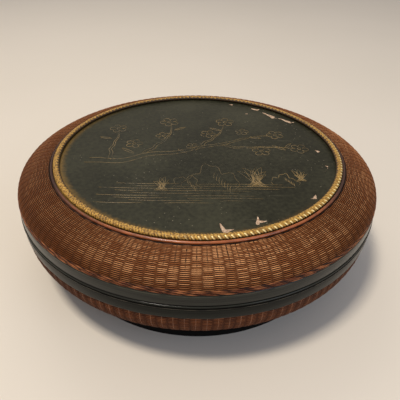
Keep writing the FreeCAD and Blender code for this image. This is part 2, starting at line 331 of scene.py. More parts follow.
board_wood = bare_wood("board_wood", paint(150, 118, 78), paint(104, 72, 42))
board_mesh = round_board("floor_board", floor_high.x, floor_low.z, floor_high.z, edge=0.5 * MM, rise=level)
fitted(board_mesh, board_wood, "base", "bentwood", "base_floor")

# Bowl: fine splint wefts woven over and under upright stakes, from the foot hoop round to the base hoop.
# Narrow pale ridges of the stakes show between the wefts, and a thin lacquered lining closes the inside.
STAKES = 128
PER_STAKE = 6
PER_WEFT = 4
WEFT_WAVE = 0.30 * MM
WEFT_CROWN = 0.30 * MM
WEFT_SINK = 0.62 * MM
WEAVE_WALL = 1.5 * MM
LINING_DEPTHS = (2.7 * MM, 3.5 * MM)
DISC_EDGE = 0.2 * MM
BOWL_SKIRT = 2.4 * MM
bowl_low, bowl_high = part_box("base_weave")
bowl_wide = bowl_high.z - BOWL_SKIRT
bowl_inner = foot_out + LAYER_GAP
bowl_reach = bowl_high.x - bowl_inner
bowl_depth = bowl_wide - bowl_low.z
bowl_arc = (bowl_reach ** 2 + bowl_depth ** 2) / (2 * bowl_depth)
bowl_turn = math.acos((bowl_arc - bowl_depth) / bowl_arc)
bowl_length = bowl_arc * bowl_turn + bowl_high.z - bowl_wide


def bowl_line(distance):
    """Radius, height and outward direction along the bowl's surface, at distances from its inner edge.

    The line starts level on a circle, leaves it where it is about upright, and goes straight up to the hoop.
    """
    turn = np.minimum(distance / bowl_arc, bowl_turn)
    beyond = np.maximum(distance - bowl_arc * bowl_turn, 0)
    radius = bowl_inner + bowl_arc * np.sin(turn)
    height = bowl_low.z + bowl_arc * (1 - np.cos(turn)) + beyond
    return radius, height, np.sin(turn), -np.cos(turn)


def layer(line, first, last, outer_depth, inner_depth, steps=60):
    """Closed outline between two depths under a surface line, out along one and back along the other."""
    distance = np.linspace(first, last, steps)
    radius, height, out, up = line(distance)
    outer = np.stack([radius - out * outer_depth, height - up * outer_depth], -1)
    inner = np.stack([radius - out * inner_depth, height - up * inner_depth], -1)
    return np.concatenate([outer, inner[::-1]])


def weave_mesh(name, line, length, wefts, band, bands, flip, back_steps=9):
    """Mesh of one band of weave, with its weft number and rise kept at each point.

    Weft j lies between distances j and j + 1 pitches along the line. Round the box it waves out and in as
    the cosine of half a turn to each stake, made blunter by a square root and a little uneven by slow sines,
    and half a turn on from weft to weft, so that it goes over every other stake. Across, it is half round.
    Where it goes over a stake it spreads, and the wefts beside it, which go under, give way. All wefts
    ripple along the line, least at its ends. A plain back at the wall's depth closes the band. flip is for a
    line whose outside lies on its left.
    """
    pitch = length / wefts
    first = wefts * band // bands
    last = wefts * (band + 1) // bands
    turn = np.linspace(0, 2 * np.pi, STAKES * PER_STAKE, endpoint=False)[:, None]
    number = np.arange(first * PER_WEFT, last * PER_WEFT + 1)[None, :] / PER_WEFT
    weft = np.floor(number)
    part = number - weft
    drift = 0.10 * np.sin(5 * turn + 0.9 * weft) + 0.08 * np.sin(17 * turn + 2.3 * weft)
    wave = np.cos(np.pi * (turn * STAKES / (2 * np.pi) + weft))
    over = np.sign(wave) * np.abs(wave) ** 0.5 * (1 + drift)
    spread = -0.2 * over * (1 - 2 * part)
    wave_rise = np.where(part == 0, -np.abs(over), over) * WEFT_WAVE
    rise = wave_rise + np.sqrt(1 - (2 * part - 1) ** 2) * WEFT_CROWN
    ripple = 0.12 * np.sin(3 * turn + 1.0) + 0.07 * np.sin(11 * turn + 0.05 * number)
    inside = np.sin(np.pi * number / wefts)
    distance = np.clip((number + spread + ripple * inside) * pitch, 0, length)
    radius, height, out, up = line(distance)
    lift = rise - WEFT_SINK
    back = np.linspace(last * pitch, first * pitch, back_steps)[None, :] + 0 * turn
    back_radius, back_height, back_out, back_up = line(back)
    radius = np.concatenate([radius + out * lift, back_radius - back_out * WEAVE_WALL], axis=1)
    height = np.concatenate([height + up * lift, back_height - back_up * WEAVE_WALL], axis=1)
    rows = np.concatenate([number + 0 * turn, back / pitch], axis=1)
    rises = np.concatenate([rise / MM, back * 0 - 1], axis=1)
    order = slice(None, None, -1) if flip else slice(None)
    points = np.stack([radius * np.cos(turn), radius * np.sin(turn), height], axis=-1)[:, order]
    return ring_mesh(name, points, weft=rows[:, order], rise=rises[:, order])


def splint(name, pale, mid, dark, groove, low, high, wefts, end_shadow_share):
    """Dyed splint, polished by handling: every visible dash of weft has a tone of its own.

    Tones also drift from stake to stake and in patches, crests are palest as a painted highlight, and wefts
    are darkened by painted shade where they go under a stake. The colour deepens from the height called high
    down to low, and painted shade darkens it away from the front and the right, which are lit. Broken
    furrows of painted shade run between the stakes, and on them too towards the first wefts. Painted shadow
    makes dark lines along the first wefts, and in places along the last, as far as the last argument allows.
    """
    material, shader, place = finish(name, 0.45, specular=0.12)
    turn = place.axis(1).math("ARCTAN2", place.axis(0)) * (STAKES / (2 * math.pi))
    stake = (turn + 0.5).math("FLOOR")
    weft = place.kept("weft")
    rise = place.kept("rise")
    cell = place.node("ShaderNodeCombineXYZ", {}, {0: stake, 1: weft.math("FLOOR"), 2: 0.5})
    dash = place.node("ShaderNodeTexWhiteNoise", {"noise_dimensions": "3D"}, {"Vector": cell})
    column = place.node("ShaderNodeTexWhiteNoise", {"noise_dimensions": "1D"}, {"W": stake})
    patch = place.cloud(16, 4.0)
    fibre = place.cloud(700, 3.0)
    # The rise term makes the crests palest: a painted highlight.
    tone = dash * 0.44 + column * 0.16 + patch * 0.34 + rise.step(0.3, 0.62) * 0.2
    body_tone = tone.step(0.38, 0.86).blend(mid, pale)
    x = place.axis(0)
    # Darker away from the front and the right, which are lit: painted shade, added to darkening towards the
    # bottom.
    lit_front_right = (place.axis(1) - 0.12 * x).step(-0.10, -0.177).most(0.35 * x.step(0.09, 0.17))
    deepened = place.axis(2).step(high, low) * (0.45 + patch * 0.7) + 0.8 * (1.0 - lit_front_right)
    deep = deepened.math("MINIMUM", 1.0).blend(body_tone, dark)
    # Painted shadow along the first wefts, and in places along the last.
    start_shadow = weft.step(2.1, 1.1)
    end_shadow = weft.step(wefts - 1.6, wefts - 0.6) * place.cloud(60, 3.0).step(0.42, 0.55) * end_shadow_share
    # Painted shade on wefts where they go under a stake, and in furrows between the stakes.
    under = rise.step(0.40, 0.0)
    sway = turn + 0.15 * (place.cloud(130, 3.0) - 0.5)
    between = sway.math("FRACT").near(0.5, 0.11, 0.02)
    upon = (sway + 0.5).math("FRACT").near(0.5, 0.11, 0.02) * weft.step(0.8 * wefts, 0.3 * wefts)
    furrow_shade = (0.2 + 0.9 * dash) * (0.75 * between).most(0.9 * upon)
    # All the painted shade takes the groove colour.
    painted_shade = under.most(start_shadow, end_shadow, furrow_shade)
    painted_shade.blend(deep, groove).into(shader, "Base Color")
    (0.66 - 0.26 * rise.step(0.1, 0.55) + 0.1 * fibre).into(shader, "Roughness")
    fibre.relief(shader, 0.05 * MM)
    return material


BOWL_WEFTS = 60
BOWL_BANDS = 3
# Its groove colour is the painted shade of the weave.
base_splint = splint("base_splint", pale=paint(128, 74, 41), mid=paint(91, 49, 26), dark=paint(76, 40, 21),
                     groove=paint(36, 17, 9), low=34 * MM, high=64 * MM, wefts=BOWL_WEFTS, end_shadow_share=1.0)
for band in range(BOWL_BANDS):
    bowl_mesh = weave_mesh("bowl_weave_%d" % (band + 1), bowl_line, bowl_length, BOWL_WEFTS, band,
                           BOWL_BANDS, flip=False)
    fitted(bowl_mesh, base_splint, "base", "woven_splint", "base_weave", crease=180)


def ridge_mesh(name, line, length, width, outer_depth, inner_depth, inset=0.4 * MM, steps=12):
    """Mesh of narrow strips along a surface line, one at each stake.

    Each strip's section is a low trapezium between two depths, carried along the line in the upright plane
    of its stake, short of the line's ends by inset, and closed by a face at each end.
    """
    turn = (np.arange(STAKES) * 2 * np.pi / STAKES)[:, None, None]
    course = line(np.linspace(inset, length - inset, steps))
    radius, height, out, up = (values[None, :, None] for values in course)
    depth = np.array([inner_depth, inner_depth, outer_depth, outer_depth])[None, None, :]
    aside = np.array([-1.0, 1.0, 0.6, -0.6])[None, None, :] * width / 2
    reach = radius - out * depth
    points = np.stack([
        reach * np.cos(turn) - aside * np.sin(turn),
        reach * np.sin(turn) + aside * np.cos(turn),
        height - up * depth + 0 * turn,
    ], axis=-1)
    here = np.arange(STAKES * steps * 4).reshape(STAKES, steps, 4)
    beside = np.roll(here, -1, axis=2)
    sides = np.stack([here[:, 1:], beside[:, 1:], beside[:, :-1], here[:, :-1]], axis=-1).reshape(-1, 4)
    return quad_mesh(name, points.reshape(-1, 3), np.concatenate([sides, here[:, 0], here[:, -1, ::-1]]))


def pale_cane(name):
    """Inner splint of the stakes, paler than the wefts and dirty in patches."""
    material, shader, place = finish(name, 0.5)
    clean = place.cloud(120, 4.0).step(0.35, 0.65)
    clean.blend(paint(82, 46, 26), paint(142, 94, 60)).into(shader, "Base Color")
    place.cloud(900).relief(shader, 0.05 * MM)
    return material


RIDGE_WIDTH = 0.9 * MM
RIDGE_DEPTH = 0.12 * MM
stake_cane = pale_cane("stake_cane")
ridges = ridge_mesh("bowl_stake_ridges", bowl_line, bowl_length, RIDGE_WIDTH, RIDGE_DEPTH, WEAVE_WALL)
fitted(ridges, stake_cane, "base", "woven_splint", crease=30)
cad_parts["base_stakes"].data.materials.clear()
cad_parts["base_stakes"].data.materials.append(stake_cane)


def lining_lacquer(name):
    """Brownish red lacquer inside the box: brushed thin over wood, a little cloudy, duller in patches."""
    material, shader, place = finish(name, 0.35, coat=0.3)
    cloud = place.cloud(18, 5.0)
    brushed = place.cloud(30, 4.0, (1, 1, 30))
    thin = (cloud * 0.7 + brushed * 0.3).step(0.35, 0.7)
    thin.blend(paint(70, 20, 14), paint(112, 34, 22)).into(shader, "Base Color")
    (0.25 + 0.25 * cloud).into(shader, "Roughness")
    brushed.relief(shader, 0.06 * MM)
    return material


red_lining = lining_lacquer("red_lining")
bowl_lining = turned(layer(bowl_line, 0, bowl_length, *LINING_DEPTHS))
fitted(ring_mesh("bowl_lining", bowl_lining), red_lining, "base", "lining_lacquer", "base_lining")
disc_low, disc_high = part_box("base_floor_lining")
floor_disc = round_board("floor_lining", disc_high.x, disc_low.z, disc_high.z, DISC_EDGE, rise=level)
fitted(floor_disc, red_lining, "base", "lining_lacquer", "base_floor_lining")

# Base hoop, its bead and the collar: a lacquered bentwood band on the bowl's edge, a thin half-round bead on
# its rim, and inside it a taller thin band, the collar, that the lid drops over.
COLLAR_WALL = 2 * MM
HOOP_SWELL = 0.12 * MM
BEAD_ROOT = 0.3 * MM


def hoop(low, high, bore, out, waver, at_top):
    """Grid of points of a lacquered hoop whose woven edge wanders a little.

    The section is a rounded rectangle with a slightly swelling face. The edge at the weave moves up and down
    as a sum of sines round the box, and the movement fades out across the hoop.
    """
    middle = (low + high) / 2
    flank = out - HOOP_SWELL
    corners = [(bore, low), (flank, low), (out, middle), (flank, high), (bore, high)]
    points = turned(rounded(corners, radius=0.9 * MM), 2 * AROUND)
    turn = np.arctan2(points[..., 1], points[..., 0])
    wander = np.sin(7 * turn + 0.6) + 0.8 * np.sin(19 * turn + 2.0) + 0.7 * np.sin(43 * turn)
    share = np.clip((points[..., 2] - low) / (high - low), 0, 1)
    points[..., 2] += waver * wander * (share if at_top else 1 - share) ** 2
    return points


def bead_outline(low, high, bore, out):
    """Half-round outline out to its crest, on a flat root sunk a little behind bore."""
    turn = np.linspace(-np.pi / 2, np.pi / 2, 9)
    middle = (low + high) / 2
    arc = np.stack([bore + (out - bore) * np.cos(turn), middle + (high - low) / 2 * np.sin(turn)], -1)
    return np.concatenate([[(bore - BEAD_ROOT, low)], arc, [(bore - BEAD_ROOT, high)]])


base_hoop_low, base_hoop_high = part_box("base_rim_hoop")
collar_low, collar_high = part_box("base_collar")
rim = base_hoop_high.x
seam = base_hoop_high.z
# Pale band on the bead: rubbed lacquer with a painted highlight. Dark lines: painted shade at the seam and
# bead.
base_green = hoop_lacquer("base_green", dark=paint(6, 8, 5), pale=paint(18, 21, 15), worn=paint(104, 98, 82),
                          edge=seam - 0.8 * MM, reach=0.7 * MM,
                          lines=((seam, 1.9 * MM), (seam - 2.1 * MM, 0.8 * MM)), roughness=0.3, gloss=0.2)
base_hoop_bore = collar_high.x + LAYER_GAP
base_hoop = hoop(base_hoop_low.z, seam, base_hoop_bore, rim, waver=0.18 * MM, at_top=False)
fitted(ring_mesh("base_hoop", base_hoop), base_green, "base", "hoop_lacquer", "base_rim_hoop")
bead_low, bead_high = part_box("base_rim_bead")
base_bead = turned(bead_outline(bead_low.z, bead_high.z, rim, bead_high.x), 2 * AROUND)
fitted(ring_mesh("base_bead", base_bead), base_green, "base", "hoop_lacquer", "base_rim_bead")
collar_bore = collar_high.x - COLLAR_WALL
collar_outline = rounded([
    (collar_bore, collar_low.z),
    (collar_high.x, collar_low.z),
    (collar_high.x, collar_high.z),
    (collar_bore, collar_high.z),
], radius=0.7 * MM)
fitted(ring_mesh("collar_band", turned(collar_outline)), red_lining, "base", "lining_lacquer", "base_collar")

# Lid hoop and bead: the same lacquered band, turned over, which rests on the base hoop and goes round the
# collar. Its lower edge carries the second bead, so that the seam lies between two thin lines.
COLLAR_PLAY = 0.6 * MM
lid_hoop_low, lid_hoop_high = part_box("lid_rim_hoop")
lid_hoop_bore = collar_high.x + COLLAR_PLAY
# Pale band at the top edge: rubbed lacquer with a painted highlight. Dark lines: painted shade at the seam
# and bead.
lid_green = hoop_lacquer("lid_green", dark=paint(11, 13, 9), pale=paint(28, 31, 24), worn=paint(56, 55, 44),
                         edge=lid_hoop_high.z - 1.2 * MM, reach=0.9 * MM,
                         lines=((lid_hoop_low.z, 1.9 * MM), (lid_hoop_low.z + 2.3 * MM, 0.9 * MM)),
                         roughness=0.3, gloss=0.48)
lid_hoop = hoop(lid_hoop_low.z, lid_hoop_high.z, lid_hoop_bore, rim, waver=0.08 * MM, at_top=True)
fitted(ring_mesh("lid_hoop", lid_hoop), lid_green, "lid", "hoop_lacquer", "lid_rim_hoop")
lid_bead_low, lid_bead_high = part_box("lid_rim_bead")
lid_bead = turned(bead_outline(lid_bead_low.z, lid_bead_high.z, rim, lid_bead_high.x), 2 * AROUND)
fitted(ring_mesh("lid_bead", lid_bead), lid_green, "lid", "hoop_lacquer", "lid_rim_bead")

# Shoulder: the woven ring of the lid, over stakes of its own, from the board's ring round and down to the
# lid hoop. Three rows of twined cord edge it at the hoop, and a lacquered lining closes it inside.
weave_low, weave_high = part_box("lid_weave")
lining_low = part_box("lid_lining")[0]
ring_low, ring_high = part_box("lid_panel_ring")
shoulder_inner = ring_high.x + LAYER_GAP
shoulder_outer = rim - LAYER_GAP
shoulder_crown = weave_high.z
shoulder_skirt = 1.5 * MM
shoulder_wide = lining_low.z + shoulder_skirt
shoulder_corner = 12 * MM
shoulder_reach = shoulder_outer - shoulder_inner
shoulder_depth = shoulder_crown - shoulder_wide
crown_arc = ((shoulder_reach ** 2 + shoulder_depth ** 2 - 2 * shoulder_reach * shoulder_corner)
             / (2 * (shoulder_depth - shoulder_corner)))
crown_turn = math.asin((shoulder_reach - shoulder_corner) / (crown_arc - shoulder_corner))
edging_rise = weave_low.z - shoulder_wide
edging_turn = math.acos(edging_rise / shoulder_corner)
crown_length = crown_arc * crown_turn
corner_turn = math.pi / 2 - crown_turn
upright_start = crown_length + shoulder_corner * corner_turn
weave_length = crown_length + shoulder_corner * (edging_turn - crown_turn)
shoulder_length = upright_start + shoulder_skirt


def shoulder_line(distance):
    """Radius, height and outward direction along the shoulder's surface, at distances from its inner edge.

    The line starts level on the crown's circle, goes on smoothly along the smaller circle of the corner
    until it is upright, and then goes straight down to the hoop.
    """
    crown = np.minimum(distance / crown_arc, crown_turn)
    corner = np.clip((distance - crown_length) / shoulder_corner, 0, corner_turn)
    turn = crown + corner
    beyond = np.maximum(distance - upright_start, 0)
    start = np.minimum(turn, crown_turn)
    radius = shoulder_inner + crown_arc * np.sin(start) + shoulder_corner * (np.sin(turn) - np.sin(start))
    fall = crown_arc * (1 - np.cos(start)) + shoulder_corner * (np.cos(start) - np.cos(turn)) + beyond
    return radius, shoulder_crown - fall, np.sin(turn), np.cos(turn)


SHOULDER_WEFTS = 52
SHOULDER_BANDS = 2
# Its groove colour is the painted shade of the weave.
lid_splint = splint("lid_splint", pale=paint(224, 159, 103), mid=paint(136, 78, 36), dark=paint(96, 50, 13),
                    groove=paint(25, 11, 3), low=86 * MM, high=101 * MM, wefts=SHOULDER_WEFTS, end_shadow_share=0.5)
for band in range(SHOULDER_BANDS):
    shoulder_mesh = weave_mesh("shoulder_weave_%d" % (band + 1), shoulder_line, weave_length, SHOULDER_WEFTS,
                               band, SHOULDER_BANDS, flip=True)
    fitted(shoulder_mesh, lid_splint, "lid", "woven_splint", "lid_weave", crease=180)
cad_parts["lid_stakes"].data.materials.clear()
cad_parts["lid_stakes"].data.materials.append(stake_cane)
shoulder_lining = turned(layer(shoulder_line, 0, shoulder_length, *LINING_DEPTHS)[::-1])
fitted(ring_mesh("shoulder_lining", shoulder_lining), red_lining, "lid", "lining_lacquer", "lid_lining")


def twisted_ring(radius, level, half_width, half_height, lays, groove, section, per_lay, flat=1.0):
    """Grid of points of a ring of two-strand cord, and how far each stands out: 0 in a groove, 1 on a crest.

    How far a point stands out is the absolute cosine of the angle round the section plus half the lays times
    the angle round the box. The reach from the section's middle is 1 less the groove's depth times what is
    short of the crest, to the power of one and a half. It is scaled to the half width and half height, and
    flat is the share of the groove that is left on top.
    """
    turn = np.linspace(0, 2 * np.pi, lays * per_lay, endpoint=False)[:, None]
    around = np.linspace(0, 2 * np.pi, section, endpoint=False)[None, :]
    lobe = np.abs(np.cos(around + lays / 2 * turn))
    reach = 1 - groove * (1 - lobe) ** 1.5 * (flat + (1 - flat) * np.abs(np.cos(around)))
    out = radius + half_width * reach * np.cos(around)
    height = level + half_height * reach * np.sin(around)
    return np.stack([out * np.cos(turn), out * np.sin(turn), height], axis=-1), lobe


# Rows of the edging from below: the lays of each cord round the box, and how deep its middle lies, in mm.
EDGING_ROWS = ((83, 0.95), (77, 0.95), (81, 1.25))
EDGING_SECTION = 14
EDGING_HALF = 1.1 * MM
edging_low, edging_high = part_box("lid_weave_edging")
# Falls to 0 where rows meet, so that painted shade darkens the edges of each row.
row_shade_factor = np.abs(np.cos(np.linspace(0, 2 * np.pi, EDGING_SECTION, endpoint=False)))[None, :]
edging_pitch = (edging_high.z - edging_low.z) / len(EDGING_ROWS)


def twined_splint(name):
    """Cord of twisted splint, uneven in tone, paler on the crests of its strands, with painted shade between
    them and between its rows.
    """
    material, shader, place = finish(name, 0.45, specular=0.15)
    stand = place.kept("stand")
    tone = place.cloud(110, 4.0, (1, 1, 6)) * 0.8 + place.cloud(24, 3.0) * 0.3
    body_tone = tone.step(0.45, 0.72).blend(paint(84, 41, 21), paint(160, 99, 58))
    # Painted shade between the strands and between the rows.
    stand.step(0.6, 0.2).blend(body_tone, paint(28, 11, 5)).into(shader, "Base Color")
    place.cloud(1400).relief(shader, 0.06 * MM)
    return material


edging_splint = twined_splint("edging_splint")
for row, (lays, depth) in enumerate(EDGING_ROWS):
    row_level = edging_low.z + (row + 0.5) * edging_pitch
    row_radius = shoulder_outer - depth * MM
    cord, stand = twisted_ring(row_radius, row_level, EDGING_HALF, 0.58 * edging_pitch, lays, groove=0.42,
                               section=EDGING_SECTION, per_lay=16)
    # The kept stand also carries the painted shade at the row edges.
    cord_mesh = ring_mesh("edging_cord_%d" % (row + 1), cord, stand=stand * row_shade_factor)
    fitted(cord_mesh, edging_splint, "lid", "woven_splint", "lid_weave_edging", crease=180)

# Board ring and board: a bentwood ring with a ledge carries a round board, lacquered dark olive. The lacquer
# is dusty and scratched, and has flaked off to the pale ground in places near the edge.
board_low, board_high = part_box("lid_panel")
ceiling_low, ceiling_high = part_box("lid_ceiling_lining")
ring_bore = board_high.x + LAYER_GAP
ring_ledge = ceiling_high.x + LAYER_GAP
ledge_level = board_low.z - LAYER_GAP
ring_outline = rounded([
    (ring_ledge, ring_low.z),
    (ring_high.x, ring_low.z),
    (ring_high.x, ring_high.z),
    (ring_bore, ring_high.z),
    (ring_bore, ledge_level),
    (ring_ledge, ledge_level),
], radius=0.5 * MM)
ring_wood = bare_wood("ring_wood", paint(92, 54, 34), paint(54, 28, 18))
fitted(ring_mesh("board_ring", turned(ring_outline)), ring_wood, "lid", "bentwood", "lid_panel_ring")
ceiling = round_board("ceiling_lining", ceiling_high.x, ceiling_low.z, ceiling_high.z, DISC_EDGE, rise=level)
fitted(ceiling, red_lining, "lid", "lining_lacquer", "lid_ceiling_lining")

# Flaked places on the board: direction from its middle in degrees, distance, length and width in mm, and the
# slant of the length from the way round, in degrees.
FLAKES = [
    (72, 124, 4, 2.5, 0),
    (58, 123.5, 8, 4, 0),
    (47, 119, 18, 6, -6),
    (37, 122, 13, 5, 4),
    (59, 107, 4, 2.5, 30),
    (2, 117, 4, 2.4, 40),
    (-12, 122, 3, 1.8, 70),
    (-38, 124, 6, 3, 20),
    (-67, 119, 10, 3, 62),
    (-65.5, 122, 6, 2.4, -15),
    (-81, 120.5, 11, 3.4, 100),
    (-79, 124.5, 9, 3.4, 8),
]
BOARD_DARK = paint(25, 25, 16)
BOARD_PALE = paint(55, 54, 40)


def board_lacquer(name):
    """Old olive lacquer: cloudy, with dust, hairline scratches, gilt rubbed off the border, and flakes.

    A flaked place is where the distance from its middle, measured along and across, is under its size after
    cloudy noise has roughened it. It narrows towards one end.
    """
    material, shader, place = finish(name, 0.45, specular=0.09)
    cloud = place.cloud(14, 5.0)
    fine = place.cloud(260, 5.0)
    shade = (cloud * 0.6 + fine * 0.55).step(0.36, 0.82).blend(BOARD_DARK, BOARD_PALE)
    scratch = place.cloud(60, 2.0, (0.2, 9.0, 1)).step(0.68, 0.74) * place.cloud(22).step(0.5, 0.62)
    shade = (scratch * 0.32).blend(shade, paint(130, 124, 104))
    dust_cells = place.node("ShaderNodeTexVoronoi", {}, {"Vector": place, "Scale": 260.0})
    dust = dust_cells.step(0.16, 0.06) * place.cloud(35, 3.0).step(0.5, 0.62)
    shade = (dust * 0.5).blend(shade, paint(158, 148, 124))
    x = place.axis(0)
    y = place.axis(1)
    reach = (x * x + y * y).math("SQRT")
    border = (reach + 6 * MM * (place.cloud(300, 4.0) - 0.5)).step(123.5 * MM, 130.5 * MM)
    gilt_dust = (border * (0.12 - 3.6 * (x + y))).most(0.0).math("MINIMUM", 0.7)
    shade = gilt_dust.blend(shade, paint(122, 94, 44))
    rough = (place.cloud(130, 5.0) - 0.5) * 2.6
    spots = []
    for direction, distance, length, width, slant in FLAKES:
        from_x = x - distance * MM * math.cos(math.radians(direction))
        from_y = y - distance * MM * math.sin(math.radians(direction))
        turn = math.radians(direction + slant)
        along = (from_y * math.cos(turn) - from_x * math.sin(turn)) / (length / 2 * MM)
        across = (from_x * math.cos(turn) + from_y * math.sin(turn)) / (width / 2 * MM) * (1.5 + along)
        spots.append(((along * along + across * across).math("SQRT") + rough).step(1.0, 0.8))
    top = place.axis(2).step(board_high.z - 1.0 * MM, board_high.z - 0.6 * MM)
    flaked = spots[0].most(*spots[1:]) * top
    ground = place.cloud(500, 3.0).step(0.3, 0.7).blend(paint(150, 118, 92), paint(206, 180, 152))
    flaked.blend(shade, ground).into(shader, "Base Color")
    (0.34 + 0.22 * fine + 0.25 * flaked).into(shader, "Roughness")
    (fine * 0.25 - flaked).relief(shader, 0.25 * MM)
    return material


def warped(x, y):
    """The top of an old board: a product of slow cosines along X and Y, set a little under its level."""
    cup = 0.10 * MM * np.cos(x / (40 * MM)) * np.cos(y / (55 * MM) + 0.7)
    return cup - 0.12 * MM


board = round_board("painted_board", board_high.x, board_low.z, board_high.z, edge=0.6 * MM, rise=warped)
fitted(board, board_lacquer("board_olive"), "lid", "panel_lacquer", "lid_panel")

# Drawing on the board: a flowering bough over rocks, grasses and water, in raised lines of gold lacquer that
# have mostly worn thin. Each line is a low ridge laid on the lacquer. Its places are in mm from the middle.


def curve(*spots, steps=24):
    """Smooth line led by a few spots: their sum, each weighted by its binomial share of the way along."""
    share = np.linspace(0, 1, steps)[:, None]
    order = len(spots) - 1
    return sum(math.comb(order, k) * share ** k * (1 - share) ** (order - k) * np.array(spot, float)
               for k, spot in enumerate(spots))


def sideways(line):
    """Unit normals of a flat line: its direction of travel at each point, turned a quarter."""
    along = np.gradient(line, axis=0)
    return np.stack([-along[:, 1], along[:, 0]], -1) / np.linalg.norm(along, axis=1, keepdims=True)


def bough(*spots, width):
    """Two edges of a bough: a smooth middle line with knots, parted by a width that shrinks to its tip."""
    middle = curve(*spots, steps=48)
    share = np.linspace(0, 1, len(middle))[:, None]
    half = width / 2 * (1 - 0.85 * share)
    knot = 0.35 * width * np.sin(23 * share) * (1 - share)
    return [middle + sideways(middle) * (half + knot), middle - sideways(middle) * (half - knot)]


def blossom(x, y, size, turn):
    """Lines of a five-petalled flower: its edge swings five times between two reaches, round a ring."""
    angle = np.linspace(0, 2 * np.pi, 61)
    reach = size * (0.4 + 0.6 * np.abs(np.sin(2.5 * angle)) ** 0.5)
    edge = np.stack([x + reach * np.cos(angle + turn), y + reach * np.sin(angle + turn)], -1)
    eye = np.stack([x + 0.2 * size * np.cos(angle[::4]), y + 0.2 * size * np.sin(angle[::4])], -1)
    return [edge, eye]


def leaf(x, y, length, turn, bend):
    """Lines of a narrow leaf: two edges that part and meet again along a bent midrib."""
    share = np.linspace(0, 1, 16)
    rib = np.stack([length * share, bend * length * np.sin(np.pi * share / 2) ** 2], -1)
    half = 0.1 * length * np.sin(np.pi * share) ** 0.8
    spin = np.array([[math.cos(turn), math.sin(turn)], [-math.sin(turn), math.cos(turn)]])
    lines = [rib + np.stack([0 * share, side * half], -1) for side in (1, -1)]
    return [line @ spin + (x, y) for line in lines]


def rock(x, y, width, height, shades=7):
    """Lines of a standing rock: a lumpy half round over a flat foot, with strokes of shade on one side."""
    angle = np.linspace(0, np.pi, 40)
    lump = 1 + 0.14 * np.sin(5 * angle + x) + 0.08 * np.sin(11 * angle)
    lines = [np.stack([x + width / 2 * lump * np.cos(angle), y + height * lump * np.sin(angle)], -1)]
    for k in range(shades):
        start = np.array([x + width * (0.08 + 0.05 * k), y + height * (0.74 - 0.1 * k)])
        bend = start + (-0.05 * width, -0.18 * height)
        end = start + (-0.02 * width, -0.32 * height)
        lines.append(curve(start, bend, end))
    return lines


# Boughs by the spots that lead them, flowers by place, size and turn, leaves by place, length and turn, and
# tufts of grass by place, number of blades and height. Turns are in radians.
strokes = bough((-104, -20), (-76, -34), (-52, 6), (-14, -8), (20, 6), (40, 34), (74, 36), width=9)
strokes += bough((-52, -8), (-42, 16), (-24, 24), (-30, 62), width=4)
strokes += bough((-4, 0), (6, 26), (22, 22), (28, 64), width=4)
strokes += bough((24, 14), (44, 2), (60, 16), (96, 8), width=3.5)
strokes += bough((-80, -18), (-92, 4), (-78, 20), (-84, 44), width=3.5)
FLOWERS = [
    (-32, 66, 10, 0.2),
    (29, 68, 10, 0.9),
    (100, 8, 9, 0.4),
    (-85, 48, 9, 1.3),
    (-36, 32, 8, 0.0),
    (10, 38, 8, 0.5),
    (62, 2, 9, 1.0),
    (-64, 14, 8.5, 0.7),
    (80, 38, 9, 0.1),
    (-6, 10, 6, 0.3),
    (46, 44, 7, 0.8),
]
for x, y, size, turn in FLOWERS:
    strokes += blossom(x, y, size, turn)
LEAVES = [
    (-62, -6, 16, 2.3),
    (-26, 46, 14, 0.4),
    (24, 46, 14, 2.5),
    (74, 14, 15, -0.8),
    (-88, 24, 13, 2.7),
    (52, 32, 13, -0.4),
    (-20, 4, 12, -0.9),
    (86, 10, 12, 0.7),
]
for x, y, length, turn in LEAVES:
    strokes += leaf(x, y, length, turn, bend=0.15)
TUFTS = [(52, -62, 13, 34), (-30, -70, 9, 22), (92, -52, 7, 20)]
for x, y, blades, tall in TUFTS:
    for blade in range(blades):
        lean = 0.45 + 2.25 * blade / (blades - 1)
        length = tall * (0.75 + 0.25 * math.sin(2.7 * blade))
        strokes += leaf(x + 1.5 * (blade - blades / 2), y, length, lean, bend=0.4 * math.cos(lean))
strokes += rock(12, -66, 44, 36) + rock(-10, -67, 24, 20) + rock(76, -58, 22, 16)
WATER_ROWS = 9
for row in range(WATER_ROWS):
    far = -59 - 3.6 * row
    left = -70 + 16 * math.sin(2.1 * row)
    gap = -16 + 30 * math.sin(3.7 * row)
    right = 74 - 6 * row + 16 * math.sin(1.3 * row)
    strokes.append(curve((left, far), (left / 2 + gap / 2, far - 1.5), (gap, far), steps=30))
    strokes.append(curve((gap + 14, far - 1), (gap / 2 + right / 2, far + 1), (right, far), steps=30))


def line_mesh(name, lines, width, low, high):
    """Mesh of low three-sided ridges along flat lines: two feet beside each line and a crest on it.

    The feet stand off along the line's own normals. Each ridge tapers at its ends and is closed there.
    """
    points = []
    quads = []
    caps = []
    count = 0
    for line in lines:
        spot = line * MM
        taper = np.clip(4 * np.minimum(np.linspace(0, 1, len(spot)), np.linspace(1, 0, len(spot))), 0.35, 1)
        foot = sideways(spot) * taper[:, None] * width / 2
        ridge = np.stack([
            np.column_stack([spot + foot, np.full(len(spot), low)]),
            np.column_stack([spot - foot, np.full(len(spot), low)]),
            np.column_stack([spot, np.full(len(spot), high)]),
        ], axis=1)
        here = count + np.arange(len(spot) * 3).reshape(-1, 3)
        beside = np.roll(here, -1, axis=1)
        quads.append(np.stack([here[1:], beside[1:], beside[:-1], here[:-1]], axis=-1).reshape(-1, 4))
        caps += [here[0].tolist(), here[-1, ::-1].tolist()]
        points.append(ridge.reshape(-1, 3))
        count += len(spot) * 3
    mesh = bpy.data.meshes.new(name)
    mesh.from_pydata(np.concatenate(points).tolist(), [], np.concatenate(quads).tolist() + caps)
    return mesh


